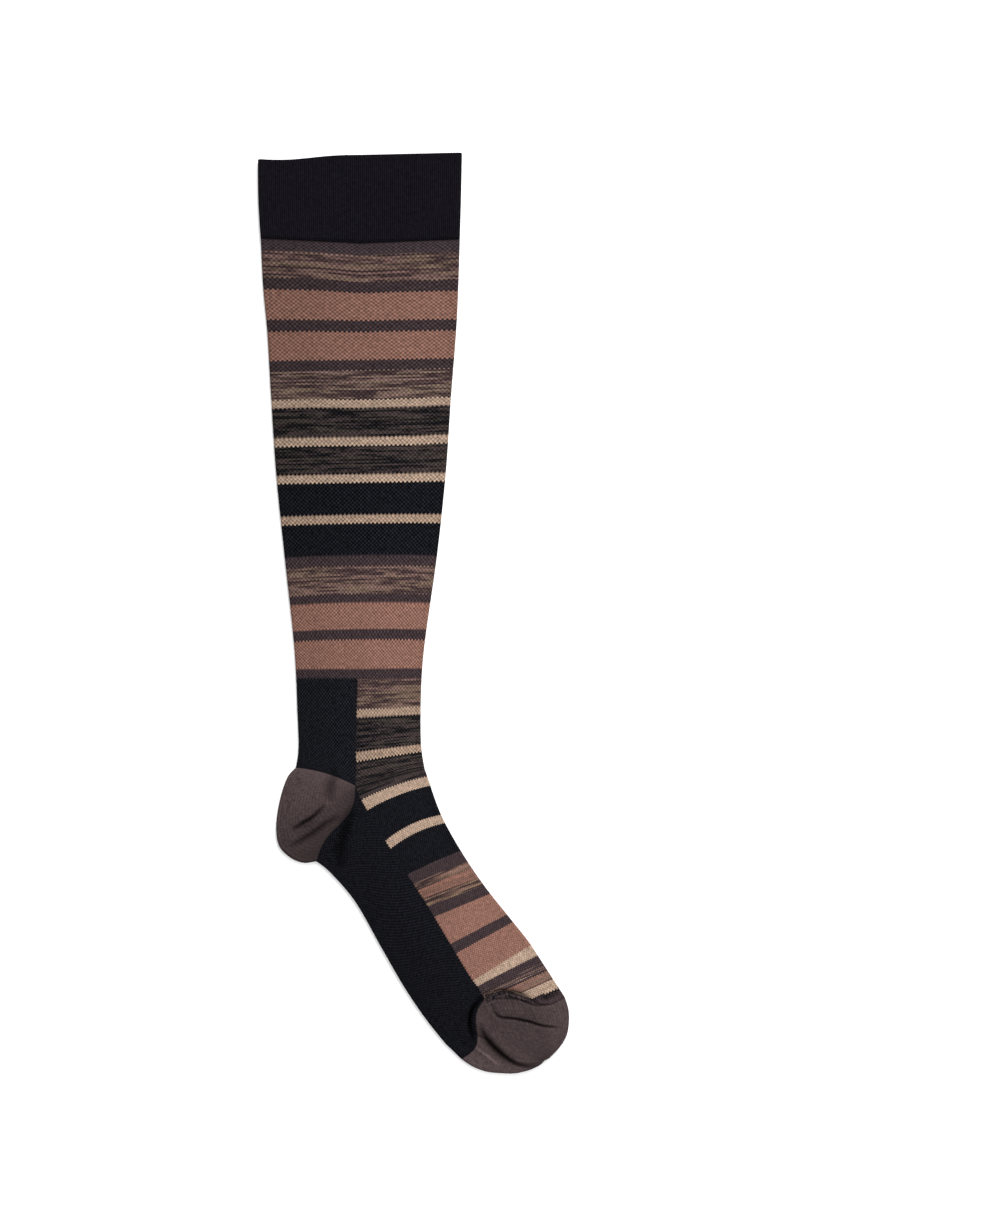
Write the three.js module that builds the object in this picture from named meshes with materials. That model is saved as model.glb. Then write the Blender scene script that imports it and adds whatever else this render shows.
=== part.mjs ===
// Knee-high compression stocking, laid flat on its side: knitted walls for cuff, leg, heel, foot and toe.
// Millimetres. +X runs from the back of the leg to its front, +Y from the toe to the cuff, +Z up.
import * as THREE from "three";

const { clamp, lerp } = THREE.MathUtils;

// Cloth thickness of each piece, the space between its two panels, and the space at a seam
const LEG_WALL = 1.3;
const FOOT_WALL = 1.3;
const CUFF_WALL = 2.0;
const HEEL_WALL = 1.5;
const TOE_WALL = 1.5;
const PANEL_GAP = 0.4;
const SEAM = 0.3;

// Cuff: one rib and one furrow take two of the stocking's 200 wales, and its upper end is a round lip
const CUFF_RIBS_PER_PANEL = 50;
const RIB_HEIGHT = 0.3;
const LIP_HEIGHT = 0.9;

// Mesh steps: cloth between two rings, steps across each half of a panel, and steps of the heel's fan
const LEG_STEP = 13;
const FOOT_STEP = 8;
const TOE_STEP = 3.5;
const HALF_STEPS = 6;
const HEEL_FAN = 17;

// A fold is round: where its columns lie, as shares of its radius
const FOLD_SHARES = [0, 0.3, 1];
// Cloth swells up over this distance from a fold
const SWELL_EASE = 9;
// The heel's courses stop this far from the corner where leg, heel and foot meet, and the heel keeps clear
const HEEL_CORNER = 1.2;
const HEEL_CLEARANCE = { x: -0.23, y: -0.1 };

// Names the columns of a short table; a value left out at the end of a row is 0.
function table(columns, rows) {
  return rows.map((row) => Object.fromEntries(columns.map((name, i) => [name, row[i] ?? 0])));
}

// A course is one row of stitches seen from above. It runs from the back fold over the side line, where the
// instep half meets the sole half, to the front fold. Each half can bow, and can swing either way in a wave.
const COURSE = [
  "backX", "backY", "sideX", "sideY", "frontX", "frontY", "backBow", "frontBow", "backWave", "frontWave",
];

const CUFF_COURSES = table(COURSE, [
  [-86.7, 253.7, -28.5, 256.0, 27.5, 257.3, -0.5, 0, -0.6],
  [-86.5, 232.0, -28.5, 231.0, 27.0, 233.0],
  [-85.2, 209.5, -28.5, 206.7, 26.3, 209.0],
]);

const LEG_COURSES = table(COURSE, [
  [-85.2, 209.5, -28.5, 206.7, 26.3, 209.0],
  [-83.8, 182.0, -28.5, 181.5, 25.4, 181.5],
  [-81.5, 157.0, -29.0, 156.5, 24.2, 157.0],
  [-79.4, 121.0, -29.0, 120.8, 21.4, 121.5],
  [-76.5, 77.5, -29.0, 78.2, 18.5, 79.0],
  [-71.8, 31.5, -29.0, 33.0, 13.7, 33.5],
  [-67.2, -10.5, -29.5, -9.6, 7.6, -9.5],
  [-65.6, -31.0, -30.5, -31.0, 5.3, -30.5],
  [-64.7, -53.5, -31.3, -53.5, 4.4, -52.0],
  [-64.0, -75.0, -31.7, -78.0, 4.6, -73.5],
  [-65.5, -86.5, -32.0, -96.7, 6.5, -87.0, 1.9, 0.8],
]);

const FOOT_COURSES = table(COURSE, [
  [-54.0, -139.0, -32.0, -96.7, 6.5, -87.0, -1.8, 0.8, 2.5],
  [-46.0, -145.5, -28.5, -105.0, 8.2, -91.8, -1.5, 1.3, 1.0],
  [-32.0, -162.0, -15.5, -127.0, 15.6, -112.5, -1.0, 2.3],
  [-17.5, -187.5, -3.0, -146.3, 26.8, -133.0, -1.0, 0.4],
  [-5.7, -208.0, 8.5, -164.0, 39.5, -152.0, -1.0],
  [5.6, -225.0, 21.0, -185.0, 52.5, -168.5, -1.0],
  [17.0, -239.5, 31.5, -202.5, 64.1, -183.0, -0.5],
  [22.0, -244.6, 36.5, -209.3, 69.8, -191.5],
  [27.0, -249.5, 40.0, -215.7, 85.0, -215.0, -2.5, 0, -3.1, 3.9],
]);

const TOE_COURSES = table(COURSE, [
  [27.0, -249.5, 40.0, -215.7, 85.0, -215.0, -2.5, 0, -3.1, 3.9],
  [33.5, -253.8, 43.0, -222.5, 87.0, -221.5, -1.2, 0, -1.4, 1.6],
  [41.0, -256.6, 48.5, -230.0, 87.4, -228.0],
  [49.0, -257.5, 56.0, -237.0, 86.6, -234.5],
  [57.0, -257.6, 63.5, -242.5, 84.5, -239.5],
  [64.5, -256.0, 69.0, -247.0, 81.0, -244.3],
  [69.5, -253.8, 72.5, -249.7, 77.5, -247.9],
]);
// The closed end of the toe rounds off over its last course, which is this much thinner
const TOE_TIP_SHARE = 0.45;
const TOE_TIP_COURSE = table(COURSE, [[71.6, -252.6, 73.6, -250.4, 76.4, -249.0]])[0];

// Back outline of the heel, from the ankle round to the sole
const HEEL_OUTLINE = table(["x", "y"], [
  [-65.5, -86.5],
  [-70.5, -92.5],
  [-74.5, -105.0],
  [-76.5, -119.0],
  [-75.0, -130.0],
  [-69.0, -136.6],
  [-61.5, -139.8],
  [-54.0, -139.0],
]);

// Largest folds of the upper panel: a hill, or a furrow with a height under 0, with its half length, its half
// width and the turn of its length from +X in degrees. Steep ones have a flat top.
const SWELLS = table(["x", "y", "halfLength", "halfWidth", "turn", "height", "steep"], [
  [-58.0, -111.0, 23, 17, 70, 3.0, 0],
  [-57.5, -113.0, 10, 2.6, 36, -1.5, 0],
  [-50.0, -122.0, 12, 2.6, 30, -1.0, 0],
  [62.0, -231.0, 27, 19, -14, 2.8, 1],
  [62.5, -227.0, 19, 2.2, -16, -1.2, 0],
]);

// A value on a smooth curve through four values in a row, between the second and the third.
function spline(values, t) {
  const [before, from, to, after] = values;
  const leave = (to - before) / 2;
  const arrive = (after - from) / 2;
  const square = t * t;
  const cube = square * t;
  const stay = 2 * cube - 3 * square + 1;
  return stay * from + (1 - stay) * to + (cube - 2 * square + t) * leave + (cube - square) * arrive;
}

// The row that lies at place v of a table, counted in rows, with every column on a smooth curve.
function rowAt(rows, v) {
  const last = rows.length - 1;
  const below = clamp(Math.floor(v), 0, last - 1);
  const near = [-1, 0, 1, 2].map((step) => rows[clamp(below + step, 0, last)]);
  const row = {};
  for (const name of Object.keys(rows[0])) {
    row[name] = spline(near.map((one) => one[name]), v - below);
  }
  return row;
}

function courseEnds(course) {
  return [
    new THREE.Vector2(course.backX, course.backY),
    new THREE.Vector2(course.sideX, course.sideY),
    new THREE.Vector2(course.frontX, course.frontY),
  ];
}

// A point on a half course, at share t of the way.
function onHalf(from, to, bow, wave, t) {
  const way = to.clone().sub(from);
  const left = new THREE.Vector2(-way.y, way.x).normalize();
  const shift = 4 * bow * t * (1 - t) + wave * Math.sin(2 * Math.PI * t);
  return from.clone().addScaledVector(way, t).addScaledVector(left, shift);
}

// The point of a course at a distance from its back fold.
function onCourse(course, distance) {
  const [back, side, front] = courseEnds(course);
  const half = back.distanceTo(side);
  if (distance <= half) {
    return onHalf(back, side, course.backBow, course.backWave, distance / half);
  }
  const share = (distance - half) / side.distanceTo(front);
  return onHalf(side, front, course.frontBow, course.frontWave, share);
}

// The lengths of a course's back half and front half.
function halfWidths(course) {
  const [back, side, front] = courseEnds(course);
  return [back.distanceTo(side), side.distanceTo(front)];
}

// The course at place v, moved along the cloth and square to its halves, to leave the seam's space.
function trimmed(courses, v, shift) {
  const course = rowAt(courses, v);
  const [back, side, front] = courseEnds(course);
  const squareTo = (from, to) => new THREE.Vector2(to.y - from.y, from.x - to.x).normalize();
  const backWay = squareTo(back, side);
  const frontWay = squareTo(side, front);
  const sideWay = backWay.clone().add(frontWay);
  sideWay.multiplyScalar(2 / sideWay.lengthSq());
  Object.entries({ back: backWay, side: sideWay, front: frontWay }).forEach(([name, way]) => {
    course[name + "X"] += shift * way.x;
    course[name + "Y"] += shift * way.y;
  });
  return course;
}

// How high the upper panel swells at a place.
function swellAt(x, y) {
  let height = 0;
  for (const swell of SWELLS) {
    const away = new THREE.Vector2(x - swell.x, y - swell.y);
    away.rotateAround(new THREE.Vector2(), -THREE.MathUtils.degToRad(swell.turn));
    const reach = (away.x / swell.halfLength) ** 2 + (away.y / swell.halfWidth) ** 2;
    height += swell.height * Math.exp(-(swell.steep ? reach * reach : reach));
  }
  return height;
}

// Share of its full height that cloth has at a distance from a round fold.
function roundOff(distance, radius) {
  const short = 1 - clamp(distance / radius, 0, 1);
  return Math.sqrt(1 - short * short);
}

// Distances from a fold to the columns of half a panel: close at the round fold, then even to the side line.
function halfColumns(half, wall, inset) {
  const radius = wall + PANEL_GAP / 2;
  const columns = FOLD_SHARES.map((share) => inset + share * (radius - inset));
  for (let i = 1; i <= HALF_STEPS; i += 1) {
    columns.push(lerp(radius, half, i / HALF_STEPS));
  }
  return columns;
}

// A point of the cloth at a distance along a course, on its upper (face 1) or lower (face -1) panel. Edge is
// the distance to the nearer fold, and inset how deep in the wall the point lies. The lower panel rests flat.
function clothPoint(course, distance, edge, wall, inset, face, pinch = 1) {
  const place = onCourse(course, distance);
  const radius = wall + PANEL_GAP / 2;
  const rise = (radius - inset) * pinch * roundOff(edge - inset, radius - inset);
  const eased = THREE.MathUtils.smoothstep(edge, 0, SWELL_EASE);
  const swell = face > 0 ? swellAt(place.x, place.y) * eased : 0;
  return new THREE.Vector3(place.x, place.y, radius + face * rise + swell);
}

// One ring of a flat tube: over the upper panel to the front fold, and back under the lower panel.
function ring(course, wall, inset, pinch) {
  const [backHalf, frontHalf] = halfWidths(course);
  const width = backHalf + frontHalf;
  const backColumns = halfColumns(backHalf, wall, inset);
  const frontColumns = halfColumns(frontHalf, wall, inset).slice(0, -1).map((distance) => width - distance);
  const columns = [...backColumns, ...frontColumns.reverse()];
  const point = (distance, face) => {
    const edge = Math.min(distance, width - distance);
    return clothPoint(course, distance, edge, wall, inset, face, pinch);
  };
  const upper = columns.map((distance) => point(distance, 1));
  const lower = columns.slice(1, -1).map((distance) => point(distance, -1));
  return [...upper, ...lower.reverse()];
}

// One ring of the ribbed cuff. Ribs stand on the upper panel's outer face; inside and underside stay plain.
function ribbedRing(course, inset) {
  const [backHalf, frontHalf] = halfWidths(course);
  const width = backHalf + frontHalf;
  const steps = 2 * CUFF_RIBS_PER_PANEL;
  const point = (i, face) => {
    const distance = lerp(inset, width - inset, i / steps);
    const edge = Math.min(distance, width - distance);
    const place = clothPoint(course, distance, edge, CUFF_WALL, inset, face);
    place.z += face > 0 && inset === 0 && i % 2 === 1 ? RIB_HEIGHT : 0;
    return place;
  };
  const places = Array.from({ length: steps + 1 }, (_, i) => i);
  const upper = places.map((i) => point(i, 1));
  const lower = places.slice(1, -1).map((i) => point(i, -1));
  return [...upper, ...lower.reverse()];
}

// One loop of the heel's wall: out to the back fold and under to the corner on the outside, and back inside.
function heelLoop(course) {
  const [half] = halfWidths(course);
  const skinLine = (inset) => {
    const full = halfColumns(half, HEEL_WALL, inset);
    const columns = full.map((distance) => Math.min(distance, half - HEEL_CORNER));
    const point = (distance, face) => clothPoint(course, distance, distance, HEEL_WALL, inset, face);
    const upper = columns.map((distance) => point(distance, 1));
    const lower = columns.slice(1).map((distance) => point(distance, -1));
    return [...lower.reverse(), ...upper];
  };
  return [...skinLine(0), ...skinLine(HEEL_WALL).reverse()];
}

// Places along a table of courses, in rows, with about one mesh step of cloth between two of them.
function stations(courses, step) {
  const places = [0];
  for (let i = 1; i < courses.length; i += 1) {
    const [, from] = courseEnds(courses[i - 1]);
    const [, to] = courseEnds(courses[i]);
    const count = Math.max(1, Math.round(from.distanceTo(to) / step));
    for (let k = 1; k <= count; k += 1) {
      places.push(i - 1 + k / count);
    }
  }
  return places;
}

// Closes a row of loops into one body. The last loop joins the first, or, where a number is given, each end
// is closed across: its points i and (across - i) face each other.
function skin(loops, across = null) {
  const count = loops[0].length;
  const index = [];
  const at = (loop, i) => loop * count + ((i + count) % count);
  const triangle = (a, b, c) => {
    if (a !== b && b !== c && c !== a) {
      index.push(a, b, c);
    }
  };
  const bands = across === null ? loops.length : loops.length - 1;
  for (let loop = 0; loop < bands; loop += 1) {
    const next = (loop + 1) % loops.length;
    for (let i = 0; i < count; i += 1) {
      triangle(at(loop, i), at(next, i), at(loop, i + 1));
      triangle(at(loop, i + 1), at(next, i), at(next, i + 1));
    }
  }
  if (across !== null) {
    const last = loops.length - 1;
    for (let i = 0; i < count / 2; i += 1) {
      const far = across - i;
      if (i + 1 > far + count - 1) {
        break;
      }
      triangle(at(0, i), at(0, i + 1), at(0, far));
      triangle(at(0, i + 1), at(0, far - 1), at(0, far));
      triangle(at(last, i), at(last, far), at(last, i + 1));
      triangle(at(last, i + 1), at(last, far), at(last, far - 1));
    }
  }
  const geometry = new THREE.BufferGeometry().setFromPoints(loops.flat());
  geometry.setIndex(index);
  geometry.computeVertexNormals();
  return geometry;
}

// A flat tube that is open at both ends, with the seam's space cut off where a neighbour follows.
function openTube(courses, wall, step) {
  const places = stations(courses, step);
  const last = places.length - 1;
  const trims = places.map((_, i) => (i === 0 ? SEAM / 2 : i === last ? -SEAM / 2 : 0));
  const rings = (inset) =>
    places.map((v, i) => ring(trimmed(courses, v, trims[i]), wall, inset));
  return skin([...rings(0), ...rings(wall).reverse()]);
}

// The cuff is a turned welt: its upper end is a round lip, its lower end meets the leg.
function cuffGeometry() {
  const [firstSide, nextSide] = CUFF_COURSES.map((row) => courseEnds(row)[1]);
  const lip = LIP_HEIGHT / firstSide.distanceTo(nextSide);
  const last = CUFF_COURSES.length - 1;
  const course = (v) => trimmed(CUFF_COURSES, v, v === last ? -SEAM / 2 : 0);
  const outside = [lip, 1, last].map((v) => ribbedRing(course(v), 0));
  const inside = [last, lip].map((v) => ribbedRing(course(v), CUFF_WALL));
  const edge = ribbedRing(course(0), CUFF_WALL / 2);
  return skin([edge, ...outside, ...inside]);
}

// The heel's courses fan out round the corner where leg, heel and foot meet.
function heelGeometry() {
  const first = LEG_COURSES.at(-1);
  const last = FOOT_COURSES[0];
  const loops = [];
  for (let i = 0; i <= HEEL_FAN; i += 1) {
    const share = i / HEEL_FAN;
    const edge = rowAt(HEEL_OUTLINE, share * (HEEL_OUTLINE.length - 1));
    const course = {
      backX: edge.x + HEEL_CLEARANCE.x,
      backY: edge.y + HEEL_CLEARANCE.y,
      sideX: first.sideX + HEEL_CLEARANCE.x,
      sideY: first.sideY + HEEL_CLEARANCE.y,
      frontX: first.frontX,
      frontY: first.frontY,
      backBow: lerp(first.backBow, last.backBow, share),
      backWave: lerp(first.backWave, last.backWave, share),
      frontBow: 0,
      frontWave: 0,
    };
    loops.push(heelLoop(course));
  }
  return skin(loops, loops[0].length - 1);
}

// The toe is a pouch: open towards the foot, closed round its tip.
function toeGeometry() {
  const places = stations(TOE_COURSES, TOE_STEP);
  const last = TOE_COURSES.length - 1;
  const course = (v) => trimmed(TOE_COURSES, v, v === 0 ? SEAM / 2 : 0);
  const outside = places.map((v) => ring(course(v), TOE_WALL, 0));
  outside.push(ring(TOE_TIP_COURSE, TOE_WALL, 0, TOE_TIP_SHARE));
  const inside = places.filter((v) => v < last - 1).map((v) => ring(course(v), TOE_WALL, TOE_WALL));
  return skin([...inside.reverse(), ...outside], 0);
}

// A named piece of knitted cloth in its main colour.
function piece(name, geometry, color, roughness) {
  const material = new THREE.MeshStandardMaterial({ color, roughness, metalness: 0 });
  const mesh = new THREE.Mesh(geometry, material);
  mesh.name = name;
  return mesh;
}

const stocking = new THREE.Group();
stocking.add(
  piece("cuff", cuffGeometry(), 0x17161a, 0.9),
  piece("leg", openTube(LEG_COURSES, LEG_WALL, LEG_STEP), 0x6b564c, 0.85),
  piece("heel", heelGeometry(), 0x4a4041, 0.9),
  piece("foot", openTube(FOOT_COURSES, FOOT_WALL, FOOT_STEP), 0x1b1b1f, 0.85),
  piece("toe", toeGeometry(), 0x4a4041, 0.9),
);

export default stocking;
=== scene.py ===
"""A knee-high compression stocking, laid flat on its side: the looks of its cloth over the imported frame."""
import math

import bpy
import numpy as np
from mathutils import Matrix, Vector


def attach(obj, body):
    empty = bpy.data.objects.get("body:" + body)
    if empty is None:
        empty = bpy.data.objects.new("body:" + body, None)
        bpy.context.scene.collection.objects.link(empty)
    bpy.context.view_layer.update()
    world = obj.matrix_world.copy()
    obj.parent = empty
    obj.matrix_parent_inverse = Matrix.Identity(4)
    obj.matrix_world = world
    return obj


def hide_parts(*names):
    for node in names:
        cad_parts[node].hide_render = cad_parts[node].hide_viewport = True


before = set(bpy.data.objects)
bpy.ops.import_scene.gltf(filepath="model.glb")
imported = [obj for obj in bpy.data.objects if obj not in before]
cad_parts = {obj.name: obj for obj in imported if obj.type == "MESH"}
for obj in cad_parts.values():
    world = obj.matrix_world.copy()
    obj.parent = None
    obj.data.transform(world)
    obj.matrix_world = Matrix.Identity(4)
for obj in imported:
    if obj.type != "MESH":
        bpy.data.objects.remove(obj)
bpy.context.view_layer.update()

# Lengths in the tables are millimetres, as in the part's source; Blender works in metres
MM = 0.001

# Cloth thickness of each piece, and the space between its two panels
LEG_WALL = 1.3
FOOT_WALL = 1.3
CUFF_WALL = 2.0
HEEL_WALL = 1.5
TOE_WALL = 1.5
PANEL_GAP = 0.4

# The knit: needles around the leg, needles of a quarter of it, and the height of one course of each kind
WALES = 200
QUARTER = WALES / 4
LEG_PITCH = 0.9
FOOT_PITCH = 0.85
POUCH_PITCH = 0.8

# Dots repeat every so many wales and courses. The leg's are a little wider apart, or the render loses them
PLAIN_REPEAT = 2.0
LEG_DOT_REPEAT = 2.5

# Cuff: ribs across a panel, height of a rib and of the round lip, and the soft lower edge with its groove
CUFF_LENGTH = 49.3
CUFF_RIBS_PER_PANEL = 50
RIB_HEIGHT = 0.2
LIP_HEIGHT = 0.9
HEM_ROWS_FROM = 5.0
HEM_DROP = 1.0
HEM_REACH = 0.9
HEM_GROOVE = 0.4
HEM_GROOVE_AT = 1.6
HEM_GROOVE_WIDTH = 0.5

# Mesh: steps round a fold and round the cuff's lip, how few rows the plain inside keeps, rows of the heel,
# length of cloth from row to row, and steps across half a panel
FOLD_STEPS = 5
LIP_STEPS = 5
INSIDE_EVERY = 8
HEEL_ROWS = 130
LEG_ROW = 1.6
FOOT_ROW = 0.8
TOE_ROW = 0.5
LEG_STEPS = 32
FOOT_STEPS = 48
TOE_STEPS = 56
HEEL_STEPS = 76

# How far from a fold the relief reaches its full height, the room left at the heel's corner, the turn of its
# fan in radians, how far from a seam two walls differ in thickness, and how much thinner the toe's tip is
SWELL_EASE = 9.0
HEEL_CORNER = 0.2
HEEL_TURN = 1.39
SEAM_EASE = 3.0
TIP_THIN = 0.55

# Photograph: its frame in pixels, the real size of a pixel, and the pixel that lies at the frame's origin
PHOTO_SIZE = (1000, 1222)
PIXEL = 0.56
ORIGIN_PIXEL = (413.0, 612.9)
LENS = 85.0
SENSOR = 36.0


def table(columns, rows):
    """Named columns for a short table; a value left out at the end of a row is 0."""
    full = [list(row) + [0.0] * (len(columns) - len(row)) for row in rows]
    return {name: np.array([row[i] for row in full], float) for i, name in enumerate(columns)}


# A course is one row of stitches seen from above. It runs from the back fold over the side line, where the
# instep half meets the sole half, to the front fold. Each half can bow, and can swing either way in a wave.
COURSE = ("back_x", "back_y", "side_x", "side_y", "front_x", "front_y",
          "back_bow", "front_bow", "back_wave", "front_wave")

CUFF_COURSES = table(COURSE, [
    (-86.7, 253.7, -28.5, 256.0, 27.5, 257.3, -0.5, 0, -0.6),
    (-86.5, 232.0, -28.5, 231.0, 27.0, 233.0),
    (-85.2, 209.5, -28.5, 206.7, 26.3, 209.0),
])

LEG_COURSES = table(COURSE, [
    (-85.2, 209.5, -28.5, 206.7, 26.3, 209.0),
    (-83.8, 182.0, -28.5, 181.5, 25.4, 181.5),
    (-81.5, 157.0, -29.0, 156.5, 24.2, 157.0),
    (-79.4, 121.0, -29.0, 120.8, 21.4, 121.5),
    (-76.5, 77.5, -29.0, 78.2, 18.5, 79.0),
    (-71.8, 31.5, -29.0, 33.0, 13.7, 33.5),
    (-67.2, -10.5, -29.5, -9.6, 7.6, -9.5),
    (-65.6, -31.0, -30.5, -31.0, 5.3, -30.5),
    (-64.7, -53.5, -31.3, -53.5, 4.4, -52.0),
    (-64.0, -75.0, -31.7, -78.0, 4.6, -73.5),
    (-65.5, -86.5, -32.0, -96.7, 6.5, -87.0, 1.9, 0.8),
])

FOOT_COURSES = table(COURSE, [
    (-54.0, -139.0, -32.0, -96.7, 6.5, -87.0, -1.8, 0.8, 2.5),
    (-46.0, -145.5, -28.5, -105.0, 8.2, -91.8, -1.5, 1.3, 1.0),
    (-32.0, -162.0, -15.5, -127.0, 15.6, -112.5, -1.0, 2.3),
    (-17.5, -187.5, -3.0, -146.3, 26.8, -133.0, -1.0, 0.4),
    (-5.7, -208.0, 8.5, -164.0, 39.5, -152.0, -1.0),
    (5.6, -225.0, 21.0, -185.0, 52.5, -168.5, -1.0),
    (17.0, -239.5, 31.5, -202.5, 64.1, -183.0, -0.5),
    (22.0, -244.6, 36.5, -209.3, 69.8, -191.5),
    (27.0, -249.5, 40.0, -215.7, 85.0, -215.0, -2.5, 0, -3.1, 3.9),
])

TOE_COURSES = table(COURSE, [
    (27.0, -249.5, 40.0, -215.7, 85.0, -215.0, -2.5, 0, -3.1, 3.9),
    (33.5, -253.8, 43.0, -222.5, 87.0, -221.5, -1.2, 0, -1.4, 1.6),
    (41.0, -256.6, 48.5, -230.0, 87.4, -228.0),
    (49.0, -257.5, 56.0, -237.0, 86.6, -234.5),
    (57.0, -257.6, 63.5, -242.5, 84.5, -239.5),
    (64.5, -256.0, 69.0, -247.0, 81.0, -244.3),
    (69.5, -253.8, 72.5, -249.7, 77.5, -247.9),
    (71.6, -252.6, 73.6, -250.4, 76.4, -249.0),
])

HEEL_OUTLINE = table(("x", "y"), [
    (-65.5, -86.5), (-70.5, -92.5), (-74.5, -105.0), (-76.5, -119.0),
    (-75.0, -130.0), (-69.0, -136.6), (-61.5, -139.8), (-54.0, -139.0),
])

# Broad hills of the upper panel: centre, half length, half width, turn from +X in degrees, height
HILLS = table(("x", "y", "half_length", "half_width", "turn", "height"), [
    (-60.5, -105.0, 20, 14, 62, 3.0),
    (-46.0, -113.0, 12, 6, 40, 1.2),
    (-57.0, -130.0, 15, 7, 22, 1.3),
    (-42.5, -96.0, 9, 6, 60, 0.7),
    (47.0, -232.0, 10, 6, 60, 0.6),
    (74.0, -238.0, 12, 8, 40, 0.5),
    (36.5, -240.5, 7, 4, -45, 1.7),
    (30.0, -229.0, 12, 5, 90, 1.1),
    (58.0, -206.0, 16, 5, 5, 0.7),
])

# The upper lobe of the toe pouch, folded over the lower one: its edge, its height and how round the edge is
TOE_LOBE = np.array([
    (40.9, -214.5), (37.8, -216.8), (33.9, -221.3), (32.5, -228.0), (33.4, -234.0), (37.5, -236.5),
    (42.6, -239.0), (46.5, -243.7), (51.2, -247.6), (58.2, -251.5), (64.7, -252.6), (68.9, -251.5),
    (75.0, -248.1), (81.2, -244.0), (87.5, -236.0), (89.0, -226.0), (87.5, -218.0), (83.0, -213.5),
    (77.5, -212.5), (73.9, -214.8), (69.0, -216.2), (66.2, -215.5), (62.3, -213.6), (58.3, -212.0),
    (53.8, -211.2), (48.2, -211.2), (43.1, -212.1),
])
LOBE_HEIGHT = 2.5
LOBE_ROUND = 4.5

# The seam where the end of the instep dips under the lobe
TOE_SEAM = [(38.0, -213.6), (43.1, -212.3), (48.2, -211.3), (53.8, -211.3), (58.3, -212.1),
            (62.3, -213.8), (66.2, -215.8), (69.0, -216.4), (74.0, -215.0), (82.5, -211.1)]

# Creases: a soft trough (depth over 0) or ridge (under 0) along a line of points, with its half width.
# Each runs out at both ends. Lean raises the cloth on the left of the line and lowers it on the right.
# Dark is painted shade: the share of the colour darkened deep in the crease; under 0 it is a painted highlight
# that lightens a ridge.
CREASES = [
    # heel: a sharp one, a softer one below it, the dimple under the ankle, and two faint ones
    (2.2, 1.0, 0.5, 0.75, [(-68.0, -121.8), (-60.9, -117.0), (-56.4, -114.3), (-53.0, -111.4),
                           (-49.3, -107.4)]),
    (1.9, 1.7, 0.7, 0.55, [(-70.0, -131.5), (-62.0, -127.0), (-55.2, -122.6), (-48.7, -117.9),
                           (-41.0, -113.5)]),
    (1.4, 2.9, 0.2, 0.5, [(-43.5, -87.0), (-45.0, -93.5), (-46.5, -99.0), (-46.0, -106.0)]),
    (0.35, 2.0, 0.0, 0.1, [(-66.0, -88.0), (-64.5, -94.0), (-63.5, -99.0)]),
    (0.4, 2.4, 0.0, 0.3, [(-63.0, -119.5), (-58.0, -118.0), (-54.5, -116.0)]),
    # sole beside the heel's lower edge
    (0.9, 3.3, 0.0, 0.65, [(-33.0, -108.0), (-36.5, -117.5), (-39.5, -127.0), (-41.0, -135.0),
                           (-40.0, -143.5)]),
    # toe: its top seam, the thin line below it, and the sharp fold across the lobe
    (1.6, 0.9, 0.0, 0.95, TOE_SEAM),
    (0.7, 0.55, 0.0, 0.7, [(41.4, -215.2), (46.0, -214.9), (51.5, -215.2), (57.2, -215.5), (61.2, -216.3),
                           (64.5, -217.7), (68.4, -218.9), (73.5, -218.9), (77.5, -217.7), (84.4, -214.7)]),
    (2.0, 0.65, -0.7, 0.9, [(43.0, -217.6), (47.4, -224.9), (57.0, -226.6), (65.9, -228.5), (72.2, -230.5),
                            (83.0, -231.6)]),
    # the lobe's lower edge: a narrow groove in a broad one, both with painted shade, a ridge outside it with a
    # painted highlight, and the lobe's own rim with a fainter painted highlight
    (1.4, 1.2, 0.0, 0.8, [(38.0, -231.5), (41.1, -237.7), (47.2, -244.2), (52.4, -248.4), (57.5, -251.8),
                          (66.0, -253.6), (73.0, -251.5)]),
    (1.0, 2.5, 0.0, 0.7, [(36.5, -229.0), (39.5, -235.2), (43.3, -240.9), (47.5, -245.2), (52.0, -249.0),
                          (57.5, -252.0)]),
    (-0.6, 0.7, 0.0, -1.0, [(34.0, -241.8), (40.5, -246.9), (48.5, -253.2)]),
    (-0.3, 0.5, 0.0, -0.4, [(50.0, -244.8), (55.5, -248.6), (62.5, -250.6), (71.0, -250.2)]),
    # the furrow between the sole and the lobe, painted almost black with shade
    (2.3, 1.15, 0.0, 0.97, [(42.5, -213.4), (37.6, -216.2), (33.3, -221.3), (31.6, -228.0), (32.5, -235.0),
                            (34.6, -240.6)]),
]

# The underside rests on its floor and shows only shallow creases, much like those above
UNDER_CREASES = [
    (0.7, 1.2, 0.0, 0.5, [(-64.0, -114.0), (-57.0, -112.8), (-50.0, -108.0), (-44.5, -101.5)]),
    (0.6, 1.6, 0.0, 0.3, [(-61.5, -129.0), (-55.0, -123.5), (-46.5, -120.5)]),
    (0.7, 1.1, 0.0, 0.6, [(46.0, -223.0), (54.5, -229.5), (65.0, -232.0), (76.0, -230.0)]),
    (0.5, 1.5, 0.0, 0.4, [(42.0, -243.5), (51.0, -249.0), (60.0, -250.5)]),
]

# The lowest that a trough may reach, how softly it gets there, how far the inside lies below a hill, and the
# height of the ripples in flat cloth
LEAST_HEIGHT = -0.7
LEAST_SOFTNESS = 0.2
INSIDE_BELOW = 1.6
RIPPLE_HEIGHT = 0.16

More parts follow.
